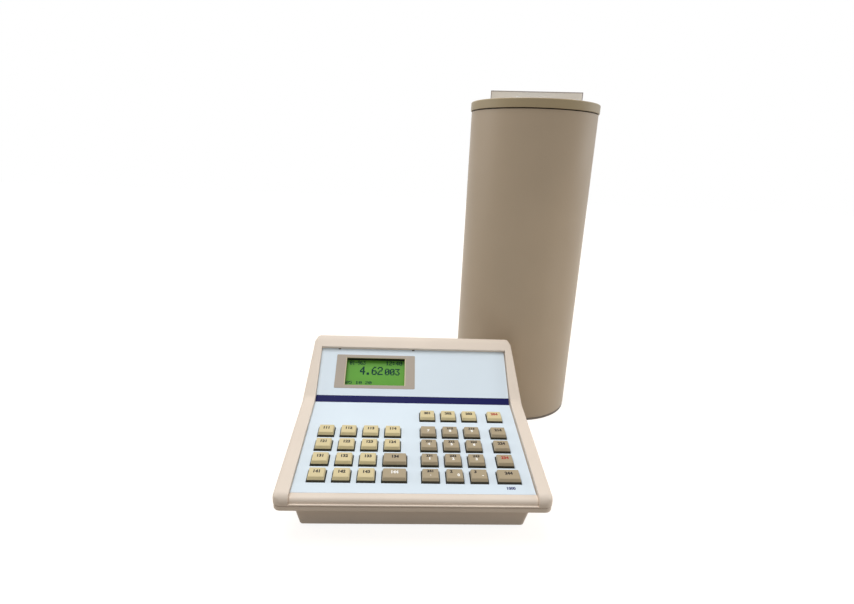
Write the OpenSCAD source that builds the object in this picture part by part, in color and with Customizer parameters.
// Desktop radionuclide dose calibrator: a wedge console beside a tall well chamber.
// Millimetres, +Z up, +Y away from the operator. The origin is on the table, in the middle of the set.

/* [Console case] */
// Width of the console over its cheeks
case_w = 270; // [264:1:280]
// Distance from the bend in the face forward to the nose
case_front = 155; // [153:0.5:158]
// Distance from the bend in the face back to the rear wall
case_rear = 80; // [78:0.5:83]
// Height of the bend in the face above the table
bend_z = 71.8; // [70:0.1:75]
// Slope of the keypad part of the face, in degrees
keypad_slope = 8.7; // [8:0.1:9.5]
// Slope of the display part of the face, in degrees
display_slope = 38; // [36:0.5:40]
// Height of the cheeks and the top rail above the face panel
rim_h = 4.5; // [3:0.5:6]
// Wall thickness of both shells
wall = 3; // [2.5:0.25:3.5]
// Height of the upper shell's lower edge
shell_z = 42.3; // [41.5:0.1:43]
// Gap between the two shells, seen as a dark groove
shell_gap = 1; // [0.5:0.1:1.5]
// Thickness of the lower shell's lip
lip_t = 5; // [4:0.5:6]
// Draft of the tray's walls, in degrees
tray_draft = 11; // [10.6:0.1:13]
// Half the width of the tray's floor
tray_floor_half_w = 114.6; // [114.2:0.2:116]
// Distance from the bend forward to the front of the tray's floor
tray_floor_front = 131.5; // [130:0.5:133]
// Distance from the bend back to the rear of the tray's floor
tray_floor_rear = 58; // [56:0.5:60]

/* [Face panel and display] */
// Width of the face panel
panel_w = 238.6; // [236:0.2:240]
// Thickness of the face panel
panel_t = 2; // [1.5:0.5:2.5]
// Length of the keypad part, from the bend to the front edge
panel_front = 146.3; // [145:0.1:147]
// Length of the display part, from the bend to the top edge
panel_top = 74.5; // [73:0.5:76]
// Width of the display frame
bezel_w = 100.6; // [98:0.2:102]
// Height of the display frame along the slope
bezel_h = 47.5; // [46:0.5:49]
// Width of the display window
window_w = 74.6; // [72:0.2:76]
// Height of the display window
window_h = 38.4; // [36:0.2:40]
// Middle of the display frame, left of the console's middle
bezel_left = 48.8; // [46:0.2:51]
// Middle of the display frame, up the slope from the bend
bezel_up = 41.8; // [40:0.2:44]

/* [Keys] */
// Width of a key at its base
key_w = 18; // [17:0.2:19]
// Depth of a key at its base
key_d = 16; // [15:0.2:17]
// Height of a key above the face panel
key_h = 4.9; // [4.4:0.1:6]
// Width of the two long keys of the left block
long_key_w = 25; // [23:0.5:26]
// Width of the long key of the right block
enter_key_w = 24; // [22:0.5:26]
// Spacing of the key columns
column_pitch = 24.65; // [24:0.05:25]
// Spacing of the key rows
row_pitch = 22.4; // [22:0.1:23]
// Distance from the single top row to the row below it
top_row_pitch = 29; // [28:0.5:30]
// Distance down the slope from the bend to the middle of the top row
top_row_down = 28.6; // [27.5:0.1:29.5]
// Middle of the left block's first column, from the console's middle
left_block_x = -97.6; // [-98.5:0.1:-96.5]
// Middle of the right block's first column, from the console's middle
right_block_x = 16.2; // [15:0.1:17]
// Extra room before the right block's last column
last_column_gap = 5.6; // [4:0.1:7]
// Travel of a key
key_travel = 3; // [2:0.5:3.5]

/* [Rear sockets] */
// Width of the rear panel
rear_panel_w = 203.4; // [200:0.2:206]
// Height of the rear panel
rear_panel_h = 58; // [56:1:60]
// Middle of the rear panel above the table
rear_panel_z = 80; // [79:0.5:81]
// Angle between the two positions of the mains rocker, in degrees
rocker_swing = 14; // [10:1:16]

/* [Well chamber] */
// Radius of the chamber's can
can_r = 86; // [85:0.5:88]
// Radius of the cap lid
lid_r = 87.3; // [87:0.1:90]
// Height of the lid's lower edge
lid_z = 427.1; // [420:0.1:440]
// Height of the lid's edge
lid_h = 11.3; // [10:0.1:13]
// Middle of the well, right of the console's middle
well_right = 157.8; // [155:0.1:165]
// Middle of the well, behind the bend in the console's face
well_back = 175.7; // [172:0.1:185]
// Radius of the well inside its liner
well_r = 30.5; // [29:0.5:31]
// Depth of the well inside its liner
well_depth = 255; // [240:1:265]
// Width of the placard
placard_w = 130.7; // [110:0.1:134]
// Height of the placard above the lid
placard_h = 22.1; // [15:0.1:30]
// Turn of the placard, in degrees
placard_turn = -11.9; // [-15:0.1:0]

/* [Hidden] */
$fn = 64;
foot_h = 3;
clear = 0.3;
case_half_w = case_w / 2;

// Places of the console and the chamber, so that the set's box is centred on the origin
set_w = case_half_w + well_right + lid_r;
set_d = case_front + well_back + lid_r;
console_x = case_half_w - set_w / 2;
bend_y = case_front - set_d / 2;
well_x = console_x + well_right;
well_y = bend_y + well_back;

// Upper shell
cheek_lean = 5.5;
corner_r_front = 8;
corner_r_rear = 12;
cheek_end_r = 9;
top_edge_r = 9;
side_top_r = 7;
nose_setback = 2;
nose_front = case_front - nose_setback;
nose_r = 4.5;
ledge_z = shell_z + 1.2;
floor_t = 2.5;
seat_gap = 0.2;
skin = panel_t + floor_t;
keypad_opening_half_w = 110;
keypad_opening = [14, 138];
display_opening = [13, 69];
over = 1;

// Lower shell
lip_top = shell_z - shell_gap;
lip_z = lip_top - lip_t;
lip_inset = 0.5;
tray_floor = foot_h + wall;
tray_corner_r = 4;
tongue_inset = nose_setback + wall + clear;
tongue_t = 2;
tongue_h = 2.3;
post_r = 4;
post_x = 105;
post_back = 47;
post_reach = -skin + 1;

// Boards under the face, as heights along the keypad's normal, below the face
key_skirt = 5;
key_gap = 0.6;
key_top_w_less = 2.4;
key_top_d_less = 3.4;
key_back_lean = 0.8;
stem_w = 4;
stem_gap = 0.3;
stem_tip = 14;
switch_top = key_skirt + key_travel + 1.5;
switch_w = 13;
board_top = stem_tip + key_travel + 2;
board_t = 1.6;
board_half_w = 116.2;
board_span = [13, 135];
boss_r = 3;
boss_x = 114;
boss_rows = [20, 75, 130];

// Screws as [shaft radius, shaft length, head radius, head height]
CASE_SCREW = [1.5, 60, 3, 1.6];
BOARD_SCREW = [1, 7, 2.5, 1.2];
REAR_SCREW = [1.4, 5, 2.8, 1.6];
LID_SCREW = [1.5, 6, 3, 2];
BASE_SCREW = [1.5, 16, 3.5, 1.8];
screw_gap = 0.1;
screw_well_h = 2;

// Display
bezel_lip = 0.4;
bezel_plug_inset = 1.3;
window_depth = 3;
lcd_frame = [94, 50, 8];
lcd_board = [98, 56, 1.6];
lcd_room = 3;

// Tray electronics
main_board_size = [190, 140, 1.6];
main_board_z = 12;
main_board_back = 42;
standoff_r = 3;
standoff_inset = 8;

// Rear panel and its sockets
rear_panel_t = 1.8;
rear_seat_edge = 10;
rear_screw_inset = 5;
inlet_x = -72;
inlet_flange = [31, 46, 2];
inlet_body = [27.4, 43, 20];
inlet_well = [24.6, 17, 16.5];
inlet_well_z = rear_panel_z - 10;
inlet_pin = [2, 14, 4];
inlet_pin_gap = 7;
inlet_pin_drop = 1;
earth_pin_rise = 3;
rocker_well = [20, 13, 13];
rocker_z = rear_panel_z + 12;
rocker_half_w = 8.6;
rocker_h = 12.2;
rocker_back = 2;
rocker_tip = 7.4;
rocker_dip = 6.2;
rocker_pivot_depth = 5;
rocker_pin_r = 1.5;
rocker_pin_gap = 0.1;
rocker_pin_l = 15.4;
data_x = [-16, 26];
data_flange = [31, 12.5, 1];
data_shell = [17, 8.4, 6];
data_body = [19, 10.4, 9];
data_taper = 1.4;
data_jack_gap = 12.5;
data_jack_r = 2.7;
data_jack_h = 5;
cable_x = 76;
cable_flange_r = 11;
cable_flange_t = 2;
cable_barrel_r = 9;
cable_barrel_l = 8;
cable_body_r = 8;
cable_body_l = 12;
can_socket_z = 45;
can_socket_turn = 135;

// Chamber
can_t = 1.2;
can_z = foot_h + 0.5;
collar_gap = 1.4;
collar_t = 1.2;
collar_sink = 8;
collar_ring_t = 3;
collar_ring_w = 15;
lid_top = lid_z + lid_h;
lid_t = 3;
liner_t = 2;
liner_flange_r = 36;
liner_flange_h = 3;
liner_top = lid_top + liner_flange_h;
liner_z = liner_top - well_depth - liner_t;
lid_hole_r = well_r + liner_t + 0.6;
base_t = 6;
shelf_z = 122;
shelf_t = 3;
pillar_r = 6;
pillar_circle = 66;
pillar_count = 3;
vessel_r = 76;
vessel_t = 2;
vessel_z = shelf_z + shelf_t;
vessel_top = lid_z - 2;
vessel_bore_r = well_r + liner_t + 0.6;
vessel_bore_z = liner_z - 1;
shield_r = 78;
shield_t = 3.2;
shield_top = lid_z - 3;
collector_r = 55;
collector_t = 1;
collector_z = vessel_z + 14;
collector_top = vessel_top - 14;
insulator_r = 4;
electrometer_z = 66;
electrometer_r = 56;
lid_screw_circle = 75;
lid_screw_count = 6;
placard_t = 1.5;
placard_back = 38.3;
placard_shift = 2;
placard_foot = [60, 22];
console_foot_r = 6;
console_foot_x = 90;
console_foot_rows = [-112, 38];
ring_foot_w = 10;

COLUMNS = ["a", "b", "c", "d"];
LEFT_KEYS = [for (row = [1 : 4]) for (column = [0 : 3]) str("left_key_", COLUMNS[column], row)];
RIGHT_KEYS = [for (row = [0 : 4]) for (column = [0 : 3]) str("right_key_", COLUMNS[column], row)];

// Colours of the finishes
BEIGE = [0.91, 0.85, 0.79];
LIGHT_BLUE = [0.86, 0.92, 0.95];
TAUPE = [0.69, 0.64, 0.56];
CREAM = [0.90, 0.85, 0.66];
KEY_TAUPE = [0.69, 0.63, 0.50];
CHAMBER_PAINT = [0.60, 0.54, 0.45];
DARK = [0.12, 0.12, 0.12];
METAL = [0.75, 0.75, 0.76];
BOARD_GREEN = [0.10, 0.35, 0.20];

// Side-view points, as [distance behind the bend, height]: a place on the keypad or display slope,
// and the bend itself, at a height along the face's normal
function on_keypad_slope(down, up = 0) =
    [-down * cos(keypad_slope) - up * sin(keypad_slope),
     bend_z - down * sin(keypad_slope) + up * cos(keypad_slope)];
function on_display_slope(along, up = 0) =
    [along * cos(display_slope) - up * sin(display_slope),
     bend_z + along * sin(display_slope) + up * cos(display_slope)];
function at_bend(up) =
    let (middle = (keypad_slope + display_slope) / 2,
         reach = up / cos((display_slope - keypad_slope) / 2))
    [-reach * sin(middle), bend_z + reach * cos(middle)];
function keypad_z(back, up) = bend_z + back * tan(keypad_slope) + up / cos(keypad_slope);
function display_z(back, up) = bend_z + back * tan(display_slope) + up / cos(display_slope);

// Points of an arc of radius r that rounds the corner b between a and c
function unit(v) = v / norm(v);
function rounded(a, b, c, r, steps = 8) =
    let (to_a = unit(a - b),
         to_c = unit(c - b),
         half = acos(to_a * to_c) / 2,
         centre = b + unit(to_a + to_c) * r / sin(half),
         start = b + to_a * r / tan(half) - centre,
         end = b + to_c * r / tan(half) - centre,
         from = atan2(start.y, start.x),
         turn = (atan2(end.y, end.x) - from + 540) % 360 - 180)
    [for (i = [0 : steps]) centre + r * [cos(from + turn * i / steps), sin(from + turn * i / steps)]];

// Middle of a key column and of a key row
function column_x(block_x, column, gap = 0) = block_x + column * column_pitch + (column == 3 ? gap : 0);
function row_down(row) = top_row_down + (row == 0 ? 0 : top_row_pitch + (row - 1) * row_pitch);

// Keys as [name, middle across, middle down the slope, width, colour]
LEFT_TABLE = [for (row = [1 : 4]) for (column = [0 : 3])
    let (long = column == 3 && row > 2,
         shift = long ? (long_key_w - key_w) / 2 : 0)
    [LEFT_KEYS[(row - 1) * 4 + column], column_x(left_block_x, column) + shift, row_down(row),
     long ? long_key_w : key_w, long ? KEY_TAUPE : CREAM]];
RIGHT_TABLE = [for (row = [0 : 4]) for (column = [0 : 3])
    [RIGHT_KEYS[row * 4 + column], column_x(right_block_x, column, last_column_gap), row_down(row),
     column == 3 && row == 4 ? enter_key_w : key_w, row == 0 ? CREAM : KEY_TAUPE]];
KEYS = concat(LEFT_TABLE, RIGHT_TABLE);

// Frames: across the console from a side view, on the keypad slope, on the display slope,
// on the outside of the rear panel and on the well's axis
module across(w) {
    translate([console_x - w / 2, bend_y, 0])
        rotate([90, 0, 90])
            linear_extrude(w) children();
}
module on_console() {
    translate([console_x, bend_y, 0]) children();
}
module on_keypad() {
    translate([console_x, bend_y, bend_z]) rotate([keypad_slope, 0, 0]) children();
}
module on_display() {
    translate([console_x, bend_y, bend_z]) rotate([display_slope, 0, 0]) children();
}
module on_rear(x, z) {
    translate([console_x + x, bend_y + case_rear, z]) rotate([-90, 0, 0]) children();
}
module on_well() {
    translate([well_x, well_y, 0]) children();
}

// A box centred on x and y, from z1 up to z2
module block(w, d, z1, z2) {
    translate([-w / 2, -d / 2, z1]) cube([w, d, z2 - z1]);
}
// A ring about the Z axis
module ring(r_outer, r_inner, z1, z2) {
    difference() {
        translate([0, 0, z1]) cylinder(r = r_outer, h = z2 - z1);
        translate([0, 0, z1 - over]) cylinder(r = r_inner, h = z2 - z1 + 2 * over);
    }
}
// A headed screw that points down from z = 0, and a hole for it, centred there
module screw(size) {
    translate([0, 0, -size[1]]) cylinder(r = size[0], h = size[1] + size[3] / 2);
    cylinder(r = size[2], h = size[3]);
}
module screw_hole(size) {
    cylinder(r = size[0] + screw_gap, h = 2 * (size[1] + over), center = true);
}
// Children at equal angles about the well
module around(count, circle, from = 0) {
    for (i = [0 : count - 1]) {
        on_well() rotate(from + i * 360 / count) translate([circle, 0, 0]) children();
    }
}

// Plan of the case, with tighter corners in front
module case_plan(inset) {
    half_w = case_half_w - inset;
    front = case_front - inset;
    rear = case_rear - inset;
    r_front = corner_r_front - inset;
    r_rear = corner_r_rear - inset;
    translate([-half_w, r_front - front]) square([2 * half_w, front + rear - r_front - r_rear]);
    translate([r_front - half_w, -front]) square([2 * (half_w - r_front), r_front]);
    translate([r_rear - half_w, rear - r_rear]) square([2 * (half_w - r_rear), r_rear]);
    for (side = [-1, 1]) {
        translate([side * (half_w - r_front), r_front - front]) circle(r_front);
        translate([side * (half_w - r_rear), rear - r_rear]) circle(r_rear);
    }
}
// Front view of the case, leaning in above the bend
module case_front_view(inset) {
    half_w = case_half_w - inset;
    lean_half_w = half_w - cheek_lean;
    right = rounded([half_w, bend_z], [lean_half_w, case_top], [0, case_top], side_top_r);
    left = rounded([0, case_top], [-lean_half_w, case_top], [-half_w, bend_z], side_top_r);
    polygon(concat([[-half_w, 0], [half_w, 0], [half_w, bend_z]], right, left, [[-half_w, bend_z]]));
}
// A side view carried across the case and trimmed to its plan and its front view
module case_solid(side_view, inset) {
    intersection() {
        across(case_w - 2 * inset) polygon(side_view);
        on_console() linear_extrude(2 * case_top) case_plan(inset);
        translate([console_x, bend_y + case_w, 0])
            rotate([90, 0, 0]) linear_extrude(2 * case_w) case_front_view(inset);
    }
}

// Side views of the upper shell: outside, space above the face, and space inside
front_corner = [-case_front, keypad_z(-case_front, rim_h)];
top_corner = [case_rear, display_z(case_rear, rim_h)];
outside_view = concat(
    [[-case_front, shell_z]],
    rounded([-case_front, shell_z], front_corner, at_bend(rim_h), cheek_end_r),
    [at_bend(rim_h)],
    rounded(at_bend(rim_h), top_corner, [case_rear, shell_z], top_edge_r),
    [[case_rear, shell_z]]);
case_top = max([for (point = outside_view) point.y]);
nose_corner = [-nose_front, keypad_z(-nose_front, 0)];
above_face_view = concat(
    [[-case_front - over, ledge_z]],
    [[-nose_front, ledge_z]],
    rounded([-nose_front, ledge_z], nose_corner, on_keypad_slope(panel_front), nose_r),
    [on_keypad_slope(panel_front + seat_gap), on_keypad_slope(panel_front + seat_gap, -panel_t),
     at_bend(-panel_t), on_display_slope(panel_top + seat_gap, -panel_t),
     on_display_slope(panel_top + seat_gap, case_rear), [-case_front - over, 2 * case_front]]);
inner_front = nose_front - wall;
inner_rear = case_rear - wall;
inside_view = [
    [-inner_front, shell_z - over], [-inner_front, keypad_z(-inner_front, -skin)], at_bend(-skin),
    [inner_rear, display_z(inner_rear, -skin)], [inner_rear, shell_z - over]];

// Console
module upper_shell() {
    color(BEIGE) {
        difference() {
            case_solid(outside_view, 0);
            across(panel_w + 2 * seat_gap) polygon(above_face_view);
            case_solid(inside_view, wall);
            on_keypad() translate([-keypad_opening_half_w, -keypad_opening[1], -2 * skin])
                cube([2 * keypad_opening_half_w, keypad_opening[1] - keypad_opening[0], 2 * skin]);
            on_display() translate([-bezel_left - lcd_board.x / 2 - lcd_room, display_opening[0], -3 * skin])
                cube([lcd_board.x + 2 * lcd_room, display_opening[1] - display_opening[0], 3 * skin]);
            on_rear(0, rear_panel_z)
                block(rear_panel_w - 2 * rear_seat_edge, rear_panel_h - rear_seat_edge, -2 * wall, over);
            on_rear(0, rear_panel_z)
                block(rear_panel_w + 2 * seat_gap, rear_panel_h + 2 * seat_gap, -rear_panel_t, over);
            rear_screw_places() screw_hole(REAR_SCREW);
        }
        keypad_bosses();
        case_posts(lip_top + clear, case_top);
    }
}
module keypad_bosses() {
    for (side = [-1, 1]) {
        for (down = boss_rows) {
            on_keypad() translate([side * boss_x, -down, -board_top]) {
                difference() {
                    cylinder(r = boss_r, h = board_top - panel_t - floor_t / 2);
                    screw_hole(BOARD_SCREW);
                }
            }
        }
    }
}
// Tubes for the case screws, cut to the slope of the display above them
module case_posts(z1, z2) {
    for (side = [-1, 1]) {
        intersection() {
            on_console() translate([side * post_x, post_back, 0])
                ring(post_r, CASE_SCREW[0] + screw_gap, z1, z2);
            across(case_w) polygon([at_bend(post_reach), [case_rear, display_z(case_rear, post_reach)],
                                    [case_rear, 0], [-case_front, 0], [-case_front, bend_z / 2]]);
        }
    }
}
module rear_screw_places() {
    for (side = [-1, 1]) {
        for (level = [-1, 1]) {
            on_rear(side * (rear_panel_w / 2 - rear_screw_inset),
                    rear_panel_z + level * (rear_panel_h / 2 - rear_screw_inset)) children();
        }
    }
}

// Plan of the tray at a height, shrunk by its walls' draft and an inset
module tray_plan(z, inset) {
    grow = (z - foot_h) * tan(tray_draft) - inset;
    half_w = tray_floor_half_w + grow;
    front = tray_floor_front + grow;
    rear = tray_floor_rear + grow;
    hull() {
        for (side = [-1, 1]) {
            for (end = [tray_corner_r - front, rear - tray_corner_r]) {
                translate([side * (half_w - tray_corner_r), end]) circle(tray_corner_r, $fn = 32);
            }
        }
    }
}
module tray_solid(z1, z2, inset) {
    thin = 0.01;
    hull() {
        translate([0, 0, z1]) linear_extrude(thin) tray_plan(z1, inset);
        translate([0, 0, z2 - thin]) linear_extrude(thin) tray_plan(z2, inset);
    }
}
module lower_shell() {
    color(BEIGE) {
        difference() {
            on_console() union() {
                tray_solid(foot_h, lip_z, 0);
                translate([0, 0, lip_z]) linear_extrude(lip_t) case_plan(lip_inset);
            }
            on_console() tray_solid(tray_floor, lip_top + over, wall);
            screw_wells();
        }
        on_console() translate([0, 0, lip_top]) linear_extrude(tongue_h) difference() {
            case_plan(tongue_inset);
            case_plan(tongue_inset + tongue_t);
        }
        difference() {
            case_posts(tray_floor, lip_top);
            screw_wells();
        }
        main_board_standoffs();
    }
}
module screw_wells() {
    for (side = [-1, 1]) {
        on_console() translate([side * post_x, post_back, foot_h + screw_well_h]) {
            screw_hole(CASE_SCREW);
            translate([0, 0, -screw_well_h - over])
                cylinder(r = CASE_SCREW[2] + 4 * screw_gap, h = screw_well_h + over);
        }
    }
}
module main_board_standoffs() {
    across_x = main_board_size.x / 2 - standoff_inset;
    for (side = [-1, 1]) {
        for (back = [-standoff_inset, standoff_inset - main_board_size.y]) {
            on_console() translate([side * across_x, main_board_back + back, tray_floor])
                cylinder(r = standoff_r, h = main_board_z - tray_floor);
        }
    }
}

module face_panel() {
    face_view = [
        on_keypad_slope(panel_front), at_bend(0), on_display_slope(panel_top),
        on_display_slope(panel_top, -panel_t), at_bend(-panel_t), on_keypad_slope(panel_front, -panel_t)];
    color(LIGHT_BLUE) difference() {
        across(panel_w) polygon(face_view);
        for (key = KEYS) {
            on_keypad() translate([key[1], -key[2], 0])
                block(key[3] + 2 * key_gap, key_d + 2 * key_gap, -2 * panel_t, panel_t);
        }
        on_display() translate([-bezel_left, bezel_up, 0])
            block(bezel_w - 2 * bezel_plug_inset, bezel_h - 2 * bezel_plug_inset, -2 * panel_t, panel_t);
    }
}

module display_bezel() {
    plug_gap = bezel_plug_inset + seat_gap;
    color(TAUPE) on_display() translate([-bezel_left, bezel_up, 0]) difference() {
        union() {
            block(bezel_w, bezel_h, 0, bezel_lip);
            block(bezel_w - 2 * plug_gap, bezel_h - 2 * plug_gap, -window_depth, bezel_lip);
        }
        block(window_w, window_h, -2 * window_depth, window_depth);
    }
}

module lcd_module() {
    glass_z = -window_depth;
    frame_z = glass_z - lcd_frame.z;
    color([0.39, 0.66, 0.24]) on_display() translate([-bezel_left, bezel_up, 0]) {
        block(lcd_frame.x, lcd_frame.y, frame_z, glass_z);
        block(lcd_board.x, lcd_board.y, frame_z - lcd_board.z, frame_z);
    }
}

module keypad_board() {
    color(BOARD_GREEN) on_keypad() difference() {
        translate([-board_half_w, -board_span[1], -board_top - board_t])
            cube([2 * board_half_w, board_span[1] - board_span[0], board_t]);
        for (side = [-1, 1]) {
            for (down = boss_rows) {
                translate([side * boss_x, -down, -board_top]) screw_hole(BOARD_SCREW);
            }
        }
    }
}

module key_switches() {
    well_w = stem_w + 2 * stem_gap;
    color(DARK) for (key = KEYS) {
        on_keypad() translate([key[1], -key[2], 0]) difference() {
            block(switch_w, switch_w, -board_top, -switch_top);
            block(well_w, well_w, -board_top - over, -switch_top + over);
        }
    }
}

// A cap that tapers above the face, with a straight skirt and a stem below it
module keycap(w) {
    top_w = w - key_top_w_less;
    top_back = key_d / 2 - key_back_lean;
    top_front = top_back - key_d + key_top_d_less;
    side_view = [[-w / 2, -key_skirt], [w / 2, -key_skirt], [w / 2, 0], [top_w / 2, key_h],
                 [-top_w / 2, key_h], [-w / 2, 0]];
    end_view = [[-key_d / 2, -key_skirt], [key_d / 2, -key_skirt], [key_d / 2, 0],
                [top_back, key_h], [top_front, key_h], [-key_d / 2, 0]];
    intersection() {
        translate([0, key_d, 0]) rotate([90, 0, 0]) linear_extrude(2 * key_d) polygon(side_view);
        translate([-w, 0, 0]) rotate([90, 0, 90]) linear_extrude(2 * w) polygon(end_view);
    }
    block(stem_w, stem_w, -stem_tip, -key_skirt);
}
module key(entry) {
    color(entry[4]) on_keypad() translate([entry[1], -entry[2], 0]) keycap(entry[3]);
}

module main_board() {
    supply = [58, 40, 28];
    supply_place = [-60, 40];
    shield = [40, 30, 10];
    shield_place = [40, -10];
    color(BOARD_GREEN) on_console() translate([0, main_board_back - main_board_size.y / 2, main_board_z]) {
        block(main_board_size.x, main_board_size.y, 0, main_board_size.z);
        translate(supply_place) block(supply.x, supply.y, over, supply.z);
        translate(shield_place) block(shield.x, shield.y, over, shield.z);
    }
}

module rear_panel() {
    color(METAL) difference() {
        on_rear(0, rear_panel_z) block(rear_panel_w, rear_panel_h, -rear_panel_t, 0);
        on_rear(inlet_x, rear_panel_z)
            block(inlet_body.x + 2 * clear, inlet_body.y + 2 * clear, -2 * rear_panel_t, over);
        for (x = data_x) {
            on_rear(x, rear_panel_z)
                block(data_body.x + 2 * clear, data_body.y + 2 * clear, -2 * rear_panel_t, over);
        }
        on_rear(cable_x, rear_panel_z)
            translate([0, 0, -2 * rear_panel_t]) cylinder(r = cable_body_r + clear, h = 3 * rear_panel_t);
        rear_screw_places() screw_hole(REAR_SCREW);
    }
}

module data_sockets() {
    wide = data_shell.x / 2;
    narrow = wide - data_taper;
    high = data_shell.y / 2;
    color(METAL) for (x = data_x) {
        on_rear(x, rear_panel_z) {
            block(data_flange.x, data_flange.y, 0, data_flange.z);
            block(data_body.x, data_body.y, -data_body.z, data_flange.z);
            linear_extrude(data_flange.z + data_shell.z)
                polygon([[-wide, -high], [wide, -high], [narrow, high], [-narrow, high]]);
            for (side = [-1, 1]) {
                translate([side * data_jack_gap, 0]) cylinder(r = data_jack_r, h = data_jack_h, $fn = 6);
            }
        }
    }
}

// A round chassis connector that points up from z = 0
module round_socket(behind) {
    cylinder(r = cable_flange_r, h = cable_flange_t);
    cylinder(r = cable_barrel_r, h = cable_barrel_l);
    translate([0, 0, -behind]) cylinder(r = cable_body_r, h = behind + over);
}
module cable_sockets() {
    color(METAL) {
        on_rear(cable_x, rear_panel_z) round_socket(cable_body_l);
        difference() {
            on_can_side() translate([0, 0, can_r - can_t / 2]) round_socket(cable_body_l);
            on_well() ring(can_r, can_r - can_t, can_z, lid_z);
        }
        on_can_side() translate([0, 0, can_r - 2 * can_t]) cylinder(r = cable_body_r, h = 3 * can_t);
    }
}
// The place of the chamber's socket, with z pointing out of the can
module on_can_side() {
    on_well() translate([0, 0, can_socket_z]) rotate(can_socket_turn) rotate([0, 90, 0]) children();
}

module power_inlet() {
    color(DARK) difference() {
        on_rear(inlet_x, rear_panel_z) {
            block(inlet_flange.x, inlet_flange.y, 0, inlet_flange.z);
            block(inlet_body.x, inlet_body.y, -inlet_body.z, inlet_flange.z);
        }
        on_rear(inlet_x, inlet_well_z)
            block(inlet_well.x, inlet_well.y, inlet_flange.z - inlet_well.z, inlet_flange.z + over);
        on_rear(inlet_x, rocker_z)
            block(rocker_well.x, rocker_well.y, inlet_flange.z - rocker_well.z, inlet_flange.z + over);
        on_rear(inlet_x, rocker_z) translate([0, 0, -rocker_pivot_depth]) rotate([90, 0, 0])
            translate([0, 0, -rocker_pin_l / 2 - clear])
                cylinder(r = rocker_pin_r + rocker_pin_gap, h = rocker_pin_l + 2 * clear);
    }
    // Earth pin in the middle, above the line and neutral pins
    well_end = inlet_flange.z - inlet_well.z;
    pins = [[-inlet_pin_gap, inlet_pin_drop], [0, -earth_pin_rise], [inlet_pin_gap, inlet_pin_drop]];
    color(METAL) for (pin = pins) {
        on_rear(inlet_x + pin.x, inlet_well_z) translate([0, pin.y, 0])
            block(inlet_pin.x, inlet_pin.z, well_end - over, well_end + inlet_pin.y);
    }
}
module power_rocker() {
    plan = [[-rocker_half_w, -rocker_back], [rocker_half_w, -rocker_back], [rocker_half_w, rocker_tip],
            [0, rocker_dip], [-rocker_half_w, rocker_tip]];
    color(DARK) on_rear(inlet_x, rocker_z) translate([0, 0, -rocker_pivot_depth]) rotate([90, 0, 0]) {
        rotate(-rocker_swing / 2) translate([0, 0, -rocker_h / 2]) linear_extrude(rocker_h) polygon(plan);
        translate([0, 0, -rocker_pin_l / 2]) cylinder(r = rocker_pin_r, h = rocker_pin_l);
    }
}

module rubber_feet() {
    color(DARK) {
        for (side = [-1, 1]) {
            for (back = console_foot_rows) {
                on_console() translate([side * console_foot_x, back])
                    cylinder(r = console_foot_r, h = foot_h);
            }
        }
        on_well() ring(can_r - clear, can_r - ring_foot_w, 0, foot_h);
    }
}

module case_screws() {
    color(METAL) {
        for (side = [-1, 1]) {
            on_console() translate([side * post_x, post_back, foot_h + screw_well_h])
                mirror([0, 0, 1]) screw(CASE_SCREW);
            for (down = boss_rows) {
                on_keypad() translate([side * boss_x, -down, -board_top - board_t])
                    mirror([0, 0, 1]) screw(BOARD_SCREW);
            }
        }
        rear_screw_places() screw(REAR_SCREW);
        around(lid_screw_count, lid_screw_circle) translate([0, 0, lid_top]) screw(LID_SCREW);
        around(pillar_count, pillar_circle) translate([0, 0, foot_h]) mirror([0, 0, 1]) screw(BASE_SCREW);
    }
}

// Chamber
module chamber_can() {
    collar_r = can_r - can_t;
    collar_top = lid_top - lid_t;
    color(CHAMBER_PAINT) difference() {
        on_well() {
            ring(can_r, can_r - can_t, can_z, lid_z - collar_gap);
            ring(collar_r, collar_r - collar_t, lid_z - collar_sink, collar_top);
            ring(collar_r, collar_r - collar_ring_w, collar_top - collar_ring_t, collar_top);
        }
        on_can_side() translate([0, 0, can_r - cable_body_l])
            cylinder(r = cable_body_r + clear, h = 2 * cable_body_l);
        around(lid_screw_count, lid_screw_circle) translate([0, 0, lid_top]) screw_hole(LID_SCREW);
    }
}
module chamber_lid() {
    color(CHAMBER_PAINT) difference() {
        on_well() difference() {
            translate([0, 0, lid_z]) cylinder(r = lid_r, h = lid_h);
            translate([0, 0, lid_z - over]) cylinder(r = can_r - can_t + clear, h = lid_h - lid_t + over);
            translate([0, 0, lid_z - over]) cylinder(r = lid_hole_r, h = 2 * lid_h);
        }
        around(lid_screw_count, lid_screw_circle) translate([0, 0, lid_top]) screw_hole(LID_SCREW);
    }
}
module well_liner() {
    color([0.93, 0.92, 0.88]) on_well() difference() {
        union() {
            translate([0, 0, liner_z]) cylinder(r = well_r + liner_t, h = liner_top - liner_z);
            translate([0, 0, lid_top]) cylinder(r = liner_flange_r, h = liner_flange_h);
        }
        translate([0, 0, liner_z + liner_t]) cylinder(r = well_r, h = 2 * well_depth);
    }
}
module ion_vessel() {
    tube_r = vessel_bore_r + vessel_t;
    color(METAL) on_well() difference() {
        translate([0, 0, vessel_z]) cylinder(r = vessel_r, h = vessel_top - vessel_z);
        difference() {
            translate([0, 0, vessel_z + vessel_t])
                cylinder(r = vessel_r - vessel_t, h = vessel_top - vessel_z - 2 * vessel_t);
            translate([0, 0, vessel_bore_z - vessel_t]) cylinder(r = tube_r, h = vessel_top - vessel_bore_z);
        }
        translate([0, 0, vessel_bore_z]) cylinder(r = vessel_bore_r, h = vessel_top);
    }
}
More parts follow.
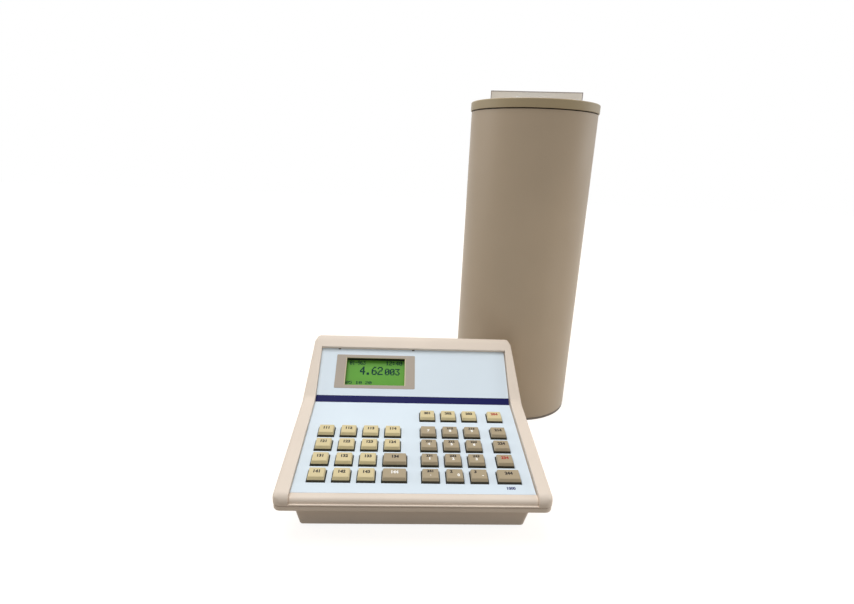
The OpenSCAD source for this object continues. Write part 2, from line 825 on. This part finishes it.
module collector_electrode() {
    color(METAL) {
        on_well() ring(collector_r, collector_r - collector_t, collector_z, collector_top);
        around(pillar_count, collector_r - collector_t / 2, 180 / pillar_count)
            translate([0, 0, vessel_z + vessel_t])
                cylinder(r = insulator_r, h = collector_z + over - vessel_z - vessel_t);
    }
}
module lead_shield() {
    color([0.35, 0.36, 0.38]) on_well() ring(shield_r + shield_t, shield_r, vessel_z, shield_top);
}
module chamber_base() {
    color(CHAMBER_PAINT) difference() {
        union() {
            on_well() translate([0, 0, foot_h]) cylinder(r = can_r - can_t - clear, h = base_t);
            on_well() translate([0, 0, shelf_z]) cylinder(r = shield_r + shield_t, h = shelf_t);
            around(pillar_count, pillar_circle)
                translate([0, 0, foot_h + base_t]) cylinder(r = pillar_r, h = shelf_z - foot_h - base_t);
        }
        around(pillar_count, pillar_circle) translate([0, 0, foot_h]) screw_hole(BASE_SCREW);
    }
}
module electrometer_board() {
    amplifier = [44, 60, 20];
    amplifier_left = 18;
    bias_supply = [26, 40, 16];
    bias_right = 26;
    color(BOARD_GREEN) on_well() {
        translate([0, 0, electrometer_z]) cylinder(r = electrometer_r, h = board_t);
        translate([-amplifier_left, 0, electrometer_z]) block(amplifier.x, amplifier.y, over, amplifier.z);
        translate([bias_right, 0, electrometer_z]) block(bias_supply.x, bias_supply.y, over, bias_supply.z);
        for (turn = [180 / pillar_count : 360 / pillar_count : 360]) {
            rotate(turn) translate([electrometer_r - standoff_inset, 0, foot_h + base_t])
                cylinder(r = standoff_r, h = electrometer_z + over - foot_h - base_t);
        }
    }
}
module placard() {
    color([0.97, 0.95, 0.93]) on_well() rotate(placard_turn) {
        translate([placard_shift - placard_w / 2, placard_back, lid_top])
            cube([placard_w, placard_t, placard_h]);
        translate([placard_shift - placard_foot.x / 2, placard_back, lid_top])
            cube([placard_foot.x, placard_foot.y, placard_t]);
    }
}

upper_shell();
lower_shell();
face_panel();
display_bezel();
lcd_module();
keypad_board();
key_switches();
main_board();
rear_panel();
data_sockets();
cable_sockets();
power_inlet();
power_rocker();
chamber_can();
chamber_lid();
well_liner();
ion_vessel();
collector_electrode();
lead_shield();
chamber_base();
electrometer_board();
rubber_feet();
case_screws();
placard();
for (entry = KEYS) {
    key(entry);
}
